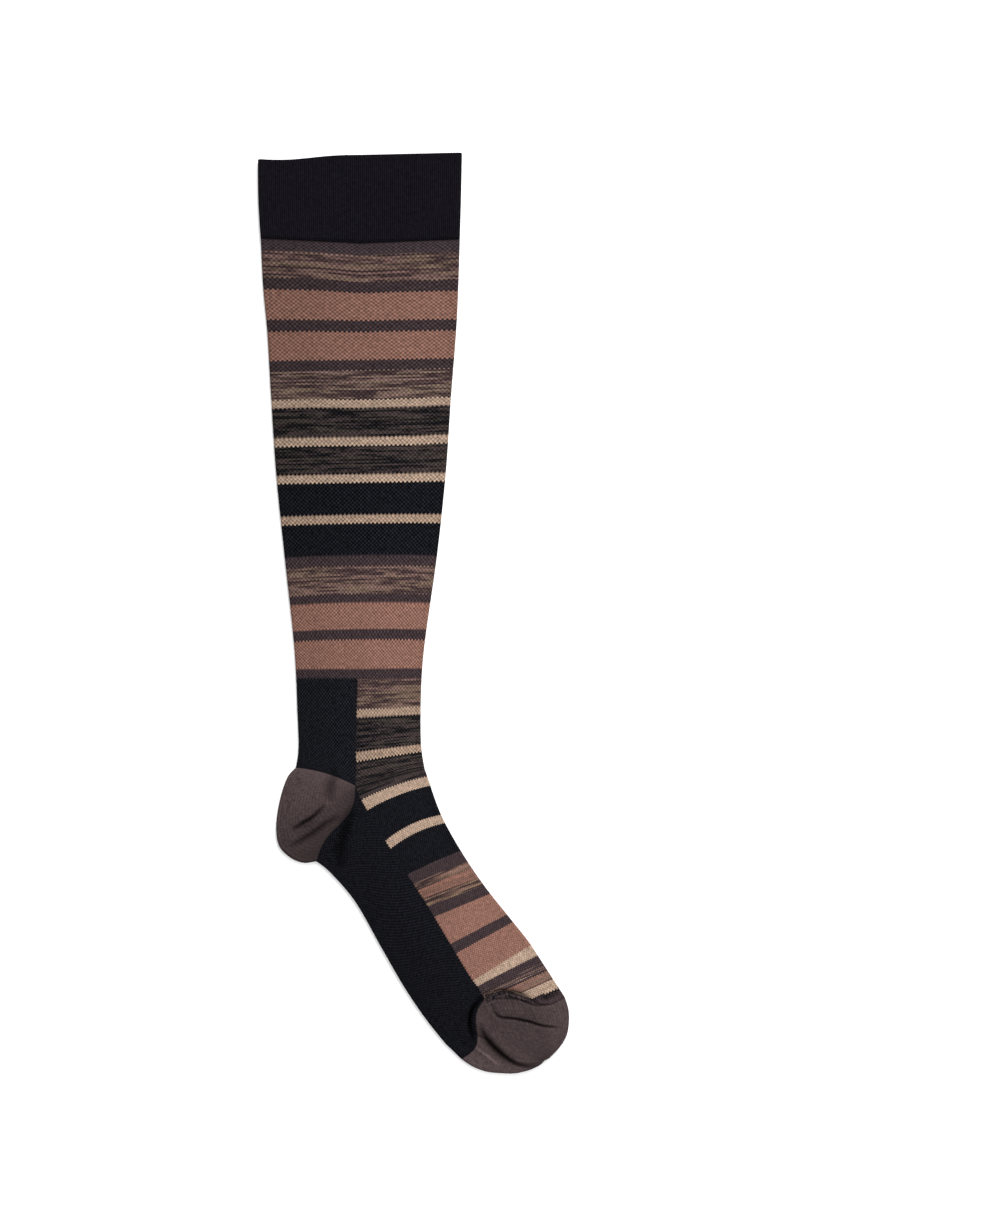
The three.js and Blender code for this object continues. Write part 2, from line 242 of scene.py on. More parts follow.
# Yarns, as sRGB colours out of 255
BLACK = (23, 24, 29)
CUFF_BLACK = (23, 22, 28)
TAUPE = (62, 52, 55)
TAN = (138, 103, 91)
BEIGE = (171, 150, 132)
POUCH = (72, 62, 63)
MARL = (65, 52, 53)
MARL_PALE = (118, 98, 90)
MARL_PALER = (126, 107, 99)
MARL_DARK = (24, 24, 27)
MARL_GREY = (66, 59, 58)
STEP_DARK = (62, 50, 50)
STEP_PALE = (134, 109, 96)
STEP_TAN = (116, 88, 78)
TAUPE_TOP = (66, 57, 61)
BEIGE_LOW = (160, 139, 121)
BLACK_BEHIND = (26, 27, 32)

# Stripes of the leg: where each ends, in millimetres below the cuff on the side line, its yarn, and the yarn
# that runs through it in streaks
LEG_STRIPES = [
    (7.2, TAUPE_TOP, TAUPE_TOP), (20.5, MARL, MARL_PALE), (26.5, TAUPE, TAUPE), (43.0, TAN, TAN),
    (49.2, TAUPE, TAUPE), (65.7, TAN, TAN), (72.0, TAUPE, TAUPE), (86.6, MARL, MARL_PALER),
    (91.5, BEIGE, BEIGE), (92.1, BLACK, BLACK), (108.6, MARL_DARK, MARL_GREY), (113.0, BEIGE, BEIGE),
    (113.6, BLACK, BLACK), (128.8, MARL_DARK, MARL_GREY), (133.9, BEIGE, BEIGE), (151.0, BLACK, BLACK),
    (156.1, BEIGE_LOW, BEIGE_LOW), (173.8, BLACK, BLACK), (179.6, TAUPE, TAUPE), (194.0, MARL, MARL_PALE),
    (199.0, TAUPE, TAUPE), (215.3, TAN, TAN), (219.9, TAUPE, TAUPE), (237.6, TAN, TAN),
    (243.4, TAUPE, TAUPE), (260.5, MARL, MARL_PALE), (265.0, BEIGE_LOW, BEIGE_LOW), (265.6, BLACK, BLACK),
    (283.8, MARL_DARK, MARL_GREY), (288.7, BEIGE_LOW, BEIGE_LOW), (289.3, BLACK, BLACK),
    (303.4, MARL_DARK, MARL_GREY),
]
LEG_LENGTH = 303.4

# From here down the leg is black behind
BACK_PANEL_FROM = 243.4

# How far the stripes of the leg hang below their place, in five columns from the back fold to the front one
SAG_COLUMNS = ("back", "back_mid", "middle", "front_mid", "front")
SAG = table(("run",) + SAG_COLUMNS, [
    (0.0,),
    (23.0, -1.2, -0.7, 0.9, 0.0, -0.5),
    (43.0, 0.0, -0.1, 0.2, -0.2, -0.3),
    (65.0, 1.0, 0.4, 0.0, -0.2, -0.3),
    (91.0, 0.6, 0.0, 0.1, -0.2, -0.9),
    (113.0, 0.3, 0.0, -0.1, -0.1, -0.8),
    (134.0,),
    (174.0, 0.0, -0.2, 0.0, 0.2, 0.8),
    (210.0, 0.5, -0.1, -0.1, -0.1, 0.3),
    (243.0,),
])

# Stripes of the instep, in millimetres below the ankle on the side line
FOOT_STRIPES = [
    (8.6, MARL_DARK, MARL_GREY), (15.8, BEIGE, BEIGE), (34.8, BLACK, BLACK), (40.0, BEIGE, BEIGE),
    (57.4, BLACK, BLACK), (63.3, TAUPE, TAUPE), (68.0, STEP_DARK, STEP_PALE), (73.6, STEP_TAN, TAN),
    (78.2, STEP_DARK, STEP_PALE), (85.4, TAUPE, TAUPE),
    (102.8, TAN, TAN), (108.7, TAUPE, TAUPE), (125.7, TAN, TAN), (131.2, BEIGE, BEIGE),
    (135.3, TAUPE, TAUPE), (136.2, MARL, BEIGE), (137.1, TAUPE, TAUPE), (138.4, MARL_PALE, TAUPE),
    (139.2, TAUPE, TAUPE), (140.0, MARL, BEIGE), (140.7, TAUPE, TAUPE), (145.8, TAN, MARL_PALE),
    (146.6, TAUPE, TAUPE), (152.4, BEIGE, BEIGE), (152.9, BLACK, BLACK), (160.0, TAUPE, TAUPE),
]
FOOT_LENGTH = 160.0

# Near the toe the stripes of the instep run on straight: from this point, this far along the foot and in this
# direction, more and more between these two places in rows, with an ease of so many wales from the sole.
# They spread a little from a line this far to the right. From the toe seam on, under the lobe's edge, the last
# stripe follows the seam.
STRAIGHT_FROM = (35.3, -208.7)
STRAIGHT_RUN = 131.2
STRAIGHT_TURN = math.radians(26.4)
STRAIGHT_ROWS = (6.2, 7.4)
STRAIGHT_EASE = 6.0
SPREAD = 0.0026
SPREAD_FROM = 48.0
LAST_STRIPE_FROM = 153.4

# Length of cloth that the knit of heel and toe counts from one end to the other
HEEL_RUN = 75.0
TOE_RUN = 45.0


def smooth(share):
    """Eases from 0 to 1 and stays there."""
    share = np.clip(share, 0, 1)
    return share * share * (3 - 2 * share)


def spline(values, place):
    """Values on a smooth curve through a column, at places counted in rows."""
    last = len(values) - 1
    below = np.clip(np.floor(place), 0, last - 1).astype(int)
    t = place - below
    before, start, end, after = (values[np.clip(below + step, 0, last)] for step in (-1, 0, 1, 2))
    leave = (end - before) / 2
    arrive = (after - start) / 2
    stay = 2 * t**3 - 3 * t**2 + 1
    return stay * start + (1 - stay) * end + (t**3 - 2 * t**2 + t) * leave + (t**3 - t**2) * arrive


def rows_at(rows, place):
    return {name: spline(values, place) for name, values in rows.items()}


def ends(courses):
    """The back, side and front points of each course."""
    names = ("back", "side", "front")
    return [np.stack([courses[name + "_x"], courses[name + "_y"]], axis=-1) for name in names]


def lengths_along(rows):
    """The cloth's length on the side line up to each row."""
    _, side, _ = ends(rows)
    return np.concatenate([[0], np.cumsum(np.linalg.norm(np.diff(side, axis=0), axis=1))])


def places_along(rows, step):
    """Places in rows, about one step of cloth apart on the side line, and the cloth's length up to each."""
    lengths = lengths_along(rows)
    places = [0.0]
    for i, length in enumerate(np.diff(lengths)):
        count = max(2, round(length / step))
        places += [i + (k + 1) / count for k in range(count)]
    return np.array(places), np.interp(places, np.arange(len(lengths)), lengths)


def on_half(start, end, bow, wave, share):
    """Points of half courses, at shares of the way from start to end."""
    way = (end - start)[:, None]
    left = np.stack([-way[..., 1], way[..., 0]], axis=-1) / np.linalg.norm(way, axis=-1)[..., None]
    shift = 4 * bow[:, None] * share * (1 - share) + wave[:, None] * np.sin(2 * math.pi * share)
    return start[:, None] + way * share[..., None] + left * shift[..., None]


def half_columns(half, wall, inset, steps):
    """Distances from a fold to the columns of half a panel: close at the round fold, then even."""
    radius = wall + PANEL_GAP / 2
    turn = np.linspace(0, math.pi / 2, FOLD_STEPS + 1)[:-1]
    fold = np.broadcast_to(inset + (radius - inset) * (1 - np.cos(turn)), (len(half), FOLD_STEPS))
    return np.concatenate([fold, radius + (half[:, None] - radius) * np.linspace(0, 1, steps + 1)], axis=1)


def line_distance(points, line):
    """Distance from each point to a line of points, the share of the line reached, and the side it is on."""
    line = np.array(line, float)
    lengths = np.linalg.norm(np.diff(line, axis=0), axis=1)
    starts = np.concatenate([[0], np.cumsum(lengths)])
    best = np.full(points.shape[:-1], np.inf)
    share = np.zeros(points.shape[:-1])
    side = np.zeros(points.shape[:-1])
    for a, b, start, length in zip(line[:-1], line[1:], starts[:-1], lengths):
        way = (b - a) / length
        off = points - a
        along = np.clip(off @ way, 0, length)
        away = off - along[..., None] * way
        distance = np.linalg.norm(away, axis=-1)
        nearer = distance < best
        best = np.where(nearer, distance, best)
        share = np.where(nearer, (start + along) / starts[-1], share)
        side = np.where(nearer, way[0] * off[..., 1] - way[1] * off[..., 0], side)
    return best, share, np.sign(side)


def soft_line(line, count=5):
    """A smooth curve through a short line of points."""
    line = np.array(line, float)
    place = np.linspace(0, len(line) - 1, (len(line) - 1) * count + 1)
    return np.stack([spline(line[:, 0], place), spline(line[:, 1], place)], axis=-1)


def inside_depth(points, outline):
    """How deep each point lies inside a closed outline; under 0 outside."""
    closed = np.concatenate([outline, outline[:1]])
    distance, _, _ = line_distance(points, closed)
    x, y = points[..., 0], points[..., 1]
    crossings = np.zeros(points.shape[:-1], int)
    for (ax, ay), (bx, by) in zip(closed[:-1], closed[1:]):
        spans = (ay > y) != (by > y)
        reach = ax + (bx - ax) * (y - ay) / (by - ay if by != ay else 1)
        crossings += spans & (x < reach)
    return np.where(crossings % 2 == 1, distance, -distance)


def creased(points, creases):
    """The height that creases add, under 0 in a trough, and the painted shade they lay on the colour, under 0 a
    painted highlight.
    """
    height = np.zeros(points.shape[:-1])
    light = np.ones(points.shape[:-1])
    for depth, width, lean, dark, line in creases:
        distance, share, side = line_distance(points, soft_line(line))
        runs_out = np.sin(math.pi * np.clip(share, 0, 1)) ** 0.5
        near = distance / width
        height -= depth * runs_out * np.exp(-near**1.7)
        height += lean * side * runs_out * np.exp(-((near / 4) ** 2)) * (1 - np.exp(-near))
        # Painted shade: the colour is darkened deep in the crease, or lightened as a painted highlight along a
        # ridge when dark is under 0
        light *= 1 - dark * runs_out * np.exp(-near**2)
    return height, 1 - light


def hill_height(points):
    """The broad forms of the upper panel, without its creases."""
    height = np.zeros(points.shape[:-1])
    for x, y, length, width, turn, rise in zip(*HILLS.values()):
        angle = math.radians(turn)
        off = points - (x, y)
        along = off @ (math.cos(angle), math.sin(angle))
        across = off @ (-math.sin(angle), math.cos(angle))
        height += rise * np.exp(-((along / length) ** 2 + (across / width) ** 2))
    depth = np.clip(inside_depth(points, TOE_LOBE) / LOBE_ROUND, 0, 1)
    return height + LOBE_HEIGHT * np.sqrt(1 - (1 - depth) ** 2)


def ripple(points):
    """Slight unevenness of cloth that lies flat."""
    x, y = points[..., 0], points[..., 1]
    broad = np.sin(x / 15 + 0.9 * np.sin(y / 38)) * np.sin(y / 27 + 1.1)
    return RIPPLE_HEIGHT * (broad + 0.6 * np.sin(x / 8.5 - y / 19 + 2.0))


def panel_relief(points, face, depth_share):
    """How far a panel (face 1 above, -1 below) stands above a plain flat one, and the painted shade of its
    creases, from its outside (0) to its inside (1)."""
    outer = 1 - depth_share
    height, shade = creased(points, CREASES if face > 0 else UNDER_CREASES)
    if face < 0:
        return -height * outer, shade * outer
    hills = hill_height(points)
    over = hills + ripple(points) + height - LEAST_HEIGHT
    outside = LEAST_HEIGHT + (over + np.sqrt(over**2 + LEAST_SOFTNESS**2)) / 2
    inside = np.clip(hills - INSIDE_BELOW, 0, None)
    return outside * outer + inside * depth_share, shade * outer


def cloth(places, edge, wall, inset, face, thin=1.0, relief=0.0):
    """Points of one panel, from plan places and distances to the fold, each with its painted crease shade."""
    radius = wall + PANEL_GAP / 2
    short = 1 - np.clip((edge - inset) / (radius - inset), 0, 1)
    flat = np.sqrt(1 - short**2)
    height, shade = panel_relief(places, face, inset / wall)
    z = radius + face * (radius - inset) * thin * flat + height * smooth(edge / SWELL_EASE) + relief * flat
    return np.concatenate([places, z[..., None], shade[..., None]], axis=-1)


def panel_plan(courses, wall, inset, steps):
    """Plan places of a panel's columns, their distance to the nearer fold, and their wale."""
    back, side, front = ends(courses)
    back_half = np.linalg.norm(side - back, axis=1)
    front_half = np.linalg.norm(front - side, axis=1)
    near = half_columns(back_half, wall, inset, steps)
    far = half_columns(front_half, wall, inset, steps)[:, :-1][:, ::-1]
    near_share = near / back_half[:, None]
    far_share = 1 - far / front_half[:, None]
    places = np.concatenate([
        on_half(back, side, courses["back_bow"], courses["back_wave"], near_share),
        on_half(side, front, courses["front_bow"], courses["front_wave"], far_share),
    ], axis=1)
    wales = np.concatenate([near_share, 1 + far_share], axis=1) * QUARTER
    return places, np.concatenate([near, far], axis=1), wales


def tube_rings(courses, wall, inset, steps, thin=1.0, relief=0.0):
    """Rings of a flat tube, over the upper panel and back under the lower one, with each column's wale.
    Relief is a height for the upper panel, or a way to work it out from the wales."""
    places, edge, wales = panel_plan(courses, wall, inset, steps)
    upper = cloth(places, edge, wall, inset, 1, thin, relief(wales) if callable(relief) else relief)
    lower = cloth(places, edge, wall, inset, -1, thin)[:, 1:-1][:, ::-1]
    around = np.concatenate([wales, WALES - wales[:, 1:-1][:, ::-1]], axis=1)
    return np.concatenate([upper, lower], axis=1), around


def body_mesh(name, loops, wales, runs, run_length, joined, fold=0, wrap=WALES):
    """A closed body through loops of points. The last loop joins the first, or both ends are closed across.
    The map "knit" holds each corner's wale around and its place along the cloth, both from 0 to 1, and the map
    "shade" its painted crease shade, under 0 a painted highlight."""
    count = loops.shape[1]
    shades = loops[..., 3].ravel()
    runs = np.broadcast_to(runs if runs.ndim == 2 else runs[:, None], wales.shape)
    bands = len(loops) if joined else len(loops) - 1
    band, i = np.meshgrid(np.arange(bands), np.arange(count), indexing="ij")
    nxt, j = (band + 1) % len(loops), (i + 1) % count
    corners = [(band, i), (nxt, i), (nxt, j), (band, j)]
    quads = np.stack([a * count + b for a, b in corners], axis=-1).reshape(-1, 4)
    turned = np.where(j == 0, wrap, 0)
    waled = [wales[a, b] + (turned if k > 1 else 0) for k, (a, b) in enumerate(corners)]
    along = [runs[a, b] for a, b in corners]
    maps = np.stack([np.stack(waled, -1) / WALES, np.stack(along, -1) / run_length], -1).reshape(-1, 4, 2)
    faces = [tuple(quad) for quad in quads.tolist()]
    flat = [pair for quad in maps.tolist() for pair in quad]
    if not joined:
        for end, flip in ((0, False), (len(loops) - 1, True)):
            for face in end_cap(count, fold, flip):
                faces.append(tuple(end * count + corner for corner in face))
                flat += [[wales[end, corner] / WALES, runs[end, corner] / run_length] for corner in face]
    mesh = bpy.data.meshes.new(name)
    mesh.from_pydata((loops[..., :3].reshape(-1, 3) * MM).tolist(), [], faces)
    mesh.uv_layers.new(name="knit").data.foreach_set("uv", np.array(flat, float).ravel())
    dark = shades[[corner for face in faces for corner in face]]
    mesh.uv_layers.new(name="shade").data.foreach_set("uv", np.stack([dark, dark * 0], -1).ravel())
    mesh.validate()
    mesh.shade_smooth()
    piece = bpy.data.objects.new(name, mesh)
    bpy.context.scene.collection.objects.link(piece)
    return piece


def end_cap(count, fold, flip):
    """Faces across one end of a body, where points i and (fold - i) lie opposite each other."""
    faces = []
    for i in range((count + 1) // 2):
        face = list(dict.fromkeys([i, i + 1, (fold - i - 1) % count, (fold - i) % count]))
        if len(face) > 2:
            faces.append(face[::-1] if flip else face)
        if (fold - i - 1) % count <= i + 2 and i > 0:
            break
    return faces


def thinned(places):
    """The few rows that the plain inside keeps, with both ends."""
    return np.unique(np.concatenate([np.arange(0, len(places), INSIDE_EVERY), [len(places) - 1]]))


def sagged(wales, runs):
    """Places along the leg's cloth, moved so that its stripes hang a little uneven."""
    share = 1 - np.abs(wales / (WALES / 2) - 1)
    moved = runs[:, None] + 0 * wales
    for i, name in enumerate(SAG_COLUMNS):
        column = smooth(1 - np.abs(share * (len(SAG_COLUMNS) - 1) - i))
        moved -= np.interp(runs, SAG["run"], SAG[name])[:, None] * column
    return moved


def make_leg():
    places, runs = places_along(LEG_COURSES, LEG_ROW)
    inner = thinned(places)[::-1]
    out, out_wales = tube_rings(rows_at(LEG_COURSES, places), LEG_WALL, 0.0, LEG_STEPS)
    back, back_wales = tube_rings(rows_at(LEG_COURSES, places[inner]), LEG_WALL, LEG_WALL, LEG_STEPS)
    wales = np.concatenate([out_wales, back_wales])
    runs = sagged(wales, np.concatenate([runs, runs[inner]]))
    return body_mesh("leg_cloth", np.concatenate([out, back]), wales, runs, LEG_LENGTH, joined=True)


def straightened(loops, wales, places, runs):
    """Places along the foot's cloth. On the instep near the toe the stripes run on straight."""
    off = loops[..., :2] - STRAIGHT_FROM
    on = off @ (math.sin(STRAIGHT_TURN), -math.cos(STRAIGHT_TURN))
    across = off @ (math.cos(STRAIGHT_TURN), math.sin(STRAIGHT_TURN))
    straight = STRAIGHT_RUN + on * (1 + SPREAD * (SPREAD_FROM - across))
    share = smooth((places - STRAIGHT_ROWS[0]) / (STRAIGHT_ROWS[1] - STRAIGHT_ROWS[0]))
    instep = np.clip((QUARTER - np.abs(wales - WALES / 2)) / STRAIGHT_EASE, 0, 1)
    stripes = runs[:, None] + share[:, None] * instep * (straight - runs[:, None])
    distance, _, side = line_distance(loops[..., :2], soft_line(TOE_SEAM))
    beyond = (side < 0) & (places[:, None] > STRAIGHT_ROWS[1]) & (instep > 0)
    return np.where(beyond, LAST_STRIPE_FROM + distance, stripes)


def make_foot():
    places, runs = places_along(FOOT_COURSES, FOOT_ROW)
    inner = thinned(places)[::-1]
    out, out_wales = tube_rings(rows_at(FOOT_COURSES, places), FOOT_WALL, 0.0, FOOT_STEPS)
    back, back_wales = tube_rings(rows_at(FOOT_COURSES, places[inner]), FOOT_WALL, FOOT_WALL, FOOT_STEPS)
    loops = np.concatenate([out, back])
    wales = np.concatenate([out_wales, back_wales])
    places = np.concatenate([places, places[inner]])
    runs = straightened(loops, wales, places, np.concatenate([runs, runs[inner]]))
    return body_mesh("foot_cloth", loops, wales, runs, FOOT_LENGTH, joined=True)


def make_cuff():
    """A turned welt: ribs on its outer face, a round lip at its top, a soft lower edge and a plain inside."""
    steps = 4 * CUFF_RIBS_PER_PANEL
    turn = np.linspace(0, math.pi / 2, LIP_STEPS)
    lip_runs = LIP_HEIGHT * (1 - np.cos(turn[:-1]))
    lip_insets = CUFF_WALL / 2 * np.sin(turn[:-1])
    outside = np.concatenate([np.linspace(LIP_HEIGHT, CUFF_LENGTH - HEM_ROWS_FROM, 18),
                              np.linspace(CUFF_LENGTH - HEM_ROWS_FROM, CUFF_LENGTH, 16)[1:]])
    inside = np.linspace(CUFF_LENGTH, LIP_HEIGHT, 6)
    runs = np.concatenate([lip_runs, outside, inside, lip_runs[:0:-1]])
    insets = np.concatenate([CUFF_WALL / 2 - lip_insets, outside * 0, inside * 0 + CUFF_WALL,
                             CUFF_WALL / 2 + lip_insets[:0:-1]])
    lengths = lengths_along(CUFF_COURSES)
    loops, wales = [], []
    for run, inset in zip(runs, insets):
        place = np.interp([run], lengths, np.arange(len(lengths)))
        to_hem = CUFF_LENGTH - run
        drop = HEM_DROP * math.exp(-((to_hem / HEM_REACH) ** 2))
        drop += HEM_GROOVE * math.exp(-(((to_hem - HEM_GROOVE_AT) / HEM_GROOVE_WIDTH) ** 2))
        outer = max(0.0, 1 - 2 * inset / CUFF_WALL)

        def welt(wale):
            rib = RIB_HEIGHT / 2 * (1 - np.cos(math.pi * wale))
            return outer * (rib * smooth(to_hem / HEM_GROOVE_AT) - drop)

        ring, around = tube_rings(rows_at(CUFF_COURSES, place), CUFF_WALL, inset, steps, relief=welt)
        loops.append(ring[0])
        wales.append(around[0])
    return body_mesh("cuff_cloth", np.array(loops), np.array(wales), runs, CUFF_LENGTH, joined=True)


def make_heel():
    """The heel pocket: its courses fan out round the corner where leg, heel and foot meet."""
    share = np.linspace(0, 1, HEEL_ROWS + 1)
    edge = rows_at(HEEL_OUTLINE, share * (len(HEEL_OUTLINE["x"]) - 1))
    first = {name: values[-1] for name, values in LEG_COURSES.items()}
    last = {name: values[0] for name, values in FOOT_COURSES.items()}
    back = np.stack([edge["x"], edge["y"]], axis=-1)
    side = np.broadcast_to((first["side_x"], first["side_y"]), back.shape)
    half = np.linalg.norm(side - back, axis=1)
    bow = first["back_bow"] + (last["back_bow"] - first["back_bow"]) * share
    wave = first["back_wave"] + (last["back_wave"] - first["back_wave"]) * share
    loops, wales = [], []
    for inset in (0.0, HEEL_WALL):
        columns = half_columns(half, HEEL_WALL, inset, HEEL_STEPS)
        columns = np.minimum(columns, half[:, None] - HEEL_CORNER)
        places = on_half(back, side, bow, wave, columns / half[:, None])
        wale = columns / half[:, None] * QUARTER
        to_seam = np.minimum(share, 1 - share)[:, None] * HEEL_TURN * (half[:, None] - columns)
        step = (2 * (LEG_WALL - HEEL_WALL) * (1 - smooth(to_seam / SEAM_EASE))) if inset == 0 else 0.0
        upper = cloth(places, columns, HEEL_WALL, inset, 1, relief=step)
        lower = cloth(places, columns, HEEL_WALL, inset, -1)[:, 1:][:, ::-1]
        line = np.concatenate([lower, upper], axis=1)
        marks = np.concatenate([-wale[:, 1:][:, ::-1], wale], axis=1)
        loops.append(line if inset == 0 else line[:, ::-1])
        wales.append(marks if inset == 0 else marks[:, ::-1])
    loops = np.concatenate(loops, axis=1)
    wales = np.concatenate(wales, axis=1)
    return body_mesh("heel_cloth", loops, wales, share * HEEL_RUN, HEEL_RUN, joined=False,
                     fold=loops.shape[1] - 1, wrap=0)


def make_toe():
    """The toe pouch: open towards the foot, closed round its tip."""
    places, lengths = places_along(TOE_COURSES, TOE_ROW)
    last = len(TOE_COURSES["back_x"]) - 1
    inner = thinned(places)
    inner = inner[places[inner] < last - 2][::-1]
    runs = places / last * TOE_RUN
    thin = 1 - TIP_THIN * np.clip(places - (last - 1), 0, 1) ** 2
    step = 2 * (FOOT_WALL - TOE_WALL) * (1 - smooth(lengths / SEAM_EASE))
    out, out_wales = tube_rings(rows_at(TOE_COURSES, places), TOE_WALL, 0.0, TOE_STEPS,
                                thin[:, None], step[:, None])
    back, back_wales = tube_rings(rows_at(TOE_COURSES, places[inner]), TOE_WALL, TOE_WALL, TOE_STEPS)
    return body_mesh("toe_cloth", np.concatenate([back, out]), np.concatenate([back_wales, out_wales]),
                     np.concatenate([runs[inner], runs]), TOE_RUN, joined=False, fold=0)


# Share of a yarn's colour that its cloth sends back under these lights, and how dull the cloth is
ALBEDO_GAIN = 0.556
CLOTH_ROUGHNESS = 0.9
CLOTH_SHINE = 0.01

# Depth of each knit's relief, in millimetres
LEG_RELIEF = 0.25
FOOT_RELIEF = 0.2
POUCH_RELIEF = 0.12
CUFF_RELIEF = 0.15

# How strong each knit's dots are, and how much its stitches differ
LEG_DOTS = (0.42, 0.28)
FOOT_DOTS = (0.44, 0.24)
POUCH_DOTS = (0.55, 0.28)
CUFF_DOTS = (0.38, 0.16)

# How fast the noise of the marled streaks runs along a course, in cycles for each wale
LEG_MARL = 0.03
FOOT_MARL = 0.012

# Painted light and shade: slow changes of light painted into the colour, as places from 0 to 1 with their
# levels: from the back fold to the front one, down the leg, round the heel from the leg to the sole, and across
# the toe. Then the light of the heel and the foot.
PAINTED_LIGHT_FOLD_TO_FOLD = [(0.0, 0.74), (0.16, 0.77), (0.45, 0.87), (0.75, 0.95), (0.93, 0.96), (1.0, 0.86)]
PAINTED_LIGHT_DOWN_LEG = [(0.0, 0.83), (0.25, 0.85), (0.6, 1.0), (1.0, 1.0)]
PAINTED_SHADE_ROUND_HEEL = [(0.0, 1.04), (0.3, 0.87), (0.65, 0.64), (1.0, 0.48)]
PAINTED_LIGHT_ACROSS_TOE = [(0.0, 1.36), (0.3, 1.14), (0.48, 0.93), (0.75, 0.95), (0.9, 1.13), (1.0, 1.15)]
HEEL_LIGHT = 1.25
FOOT_LIGHT = 1.08


def linear(colour):
    """A yarn's sRGB colour out of 255 as linear light."""
    values = [c / 255 for c in colour]
    light = [c / 12.92 if c <= 0.04045 else ((c + 0.055) / 1.055) ** 2.4 for c in values]
    return tuple(ALBEDO_GAIN * c for c in light) + (1.0,)


class Graph:
    """Builds a material's nodes. Each call adds one node and gives back its output socket."""

    def __init__(self, name):
        self.material = bpy.data.materials.new(name)
        self.material.use_nodes = True
        self.tree = self.material.node_tree
        self.shader = self.tree.nodes["Principled BSDF"]
        self.shader.inputs["Roughness"].default_value = CLOTH_ROUGHNESS
        self.shader.inputs["Specular IOR Level"].default_value = CLOTH_SHINE

    def add(self, kind, values=(), **settings):
        node = self.tree.nodes.new("ShaderNode" + kind)
        for name, value in settings.items():
            setattr(node, name, value)
        for i, value in enumerate(values):
            if isinstance(value, bpy.types.NodeSocket):
                self.tree.links.new(value, node.inputs[i])
            elif value is not None:
                node.inputs[i].default_value = value
        return node

    def math(self, operation, *values):
        return self.add("Math", values, operation=operation).outputs[0]

    def plus(self, *values):
        total = values[0]
        for value in values[1:]:
            total = self.math("ADD", total, value)
        return total

    def times(self, *values):
        total = values[0]
        for value in values[1:]:
            total = self.math("MULTIPLY", total, value)
        return total

    def between(self, share, low, high):
        """A number from low (at share 0) to high (at share 1)."""
        return self.plus(low, self.times(share, self.math("SUBTRACT", high, low)))

    def step(self, value, start, end):
        """0 at start and before it, 1 at end and past it, smooth between."""
        return self.add("MapRange", [value, start, end, 0.0, 1.0], interpolation_type="SMOOTHSTEP").outputs[0]

    def ramp(self, share, stops, constant=False):
        node = self.add("ValToRGB", [share])
        node.color_ramp.interpolation = "CONSTANT" if constant else "EASE"
        elements = node.color_ramp.elements
        while len(elements) < len(stops):
            elements.new(1.0)
        for element, (place, colour) in zip(elements, stops):
            element.position = place
            element.color = colour
        return node.outputs["Color"]

    def level(self, share, stops):
        """A number from a soft ramp over places from 0 to 1."""
        greys = [(place, (v, v, v, 1.0)) for place, v in stops]
        return self.add("RGBToBW", [self.ramp(share, greys)]).outputs[0]

    def mix(self, share, a, b):
        node = self.add("Mix", data_type="RGBA")
        for name, value in (("Factor_Float", share), ("A_Color", a), ("B_Color", b)):
            socket = next(s for s in node.inputs if s.identifier == name)
            if isinstance(value, bpy.types.NodeSocket):
                self.tree.links.new(value, socket)
            else:
                socket.default_value = value
        return next(s for s in node.outputs if s.identifier == "Result_Color")

    def shade(self, colour, amount):
        """A colour made lighter or darker by a number that changes over the surface."""
        node = self.add("VectorMath", operation="SCALE")
        self.tree.links.new(colour, node.inputs[0])
        self.tree.links.new(amount, node.inputs["Scale"])
        return node.outputs[0]

    def tint(self, colour, channels):
        return self.add("VectorMath", [colour, channels], operation="MULTIPLY").outputs[0]

    def plain(self, colour):
        node = self.add("RGB")
        node.outputs[0].default_value = linear(colour)
        return node.outputs[0]

    def noise(self, vector, detail=2.0, roughness=0.5):
        node = self.add("TexNoise")
        self.tree.links.new(vector, node.inputs["Vector"])
        node.inputs["Scale"].default_value = 1.0
        node.inputs["Detail"].default_value = detail
        node.inputs["Roughness"].default_value = roughness
        return node.outputs[0]

    def vector(self, x, y, z=0.0):
        return self.add("CombineXYZ", [x, y, z]).outputs[0]

    def finish(self, colour, height, depth):
        """Joins the colour, darkened by the painted crease shade of the map "shade" and lightened where that
        map holds a painted highlight, and a relief of the given depth in millimetres.
        """
        shade = self.add("SeparateXYZ", [self.add("UVMap", uv_map="shade").outputs[0]]).outputs[0]
        # Painted shade in creases and painted highlights on ridges, from the map "shade"
        colour = self.shade(colour, self.math("SUBTRACT", 1.0, shade))
        self.tree.links.new(colour, self.shader.inputs["Base Color"])
        bump = self.add("Bump")
        bump.inputs["Strength"].default_value = 1.0
        bump.inputs["Distance"].default_value = depth * MM
        self.tree.links.new(height, bump.inputs["Height"])
        self.tree.links.new(bump.outputs[0], self.shader.inputs["Normal"])
        return self.material


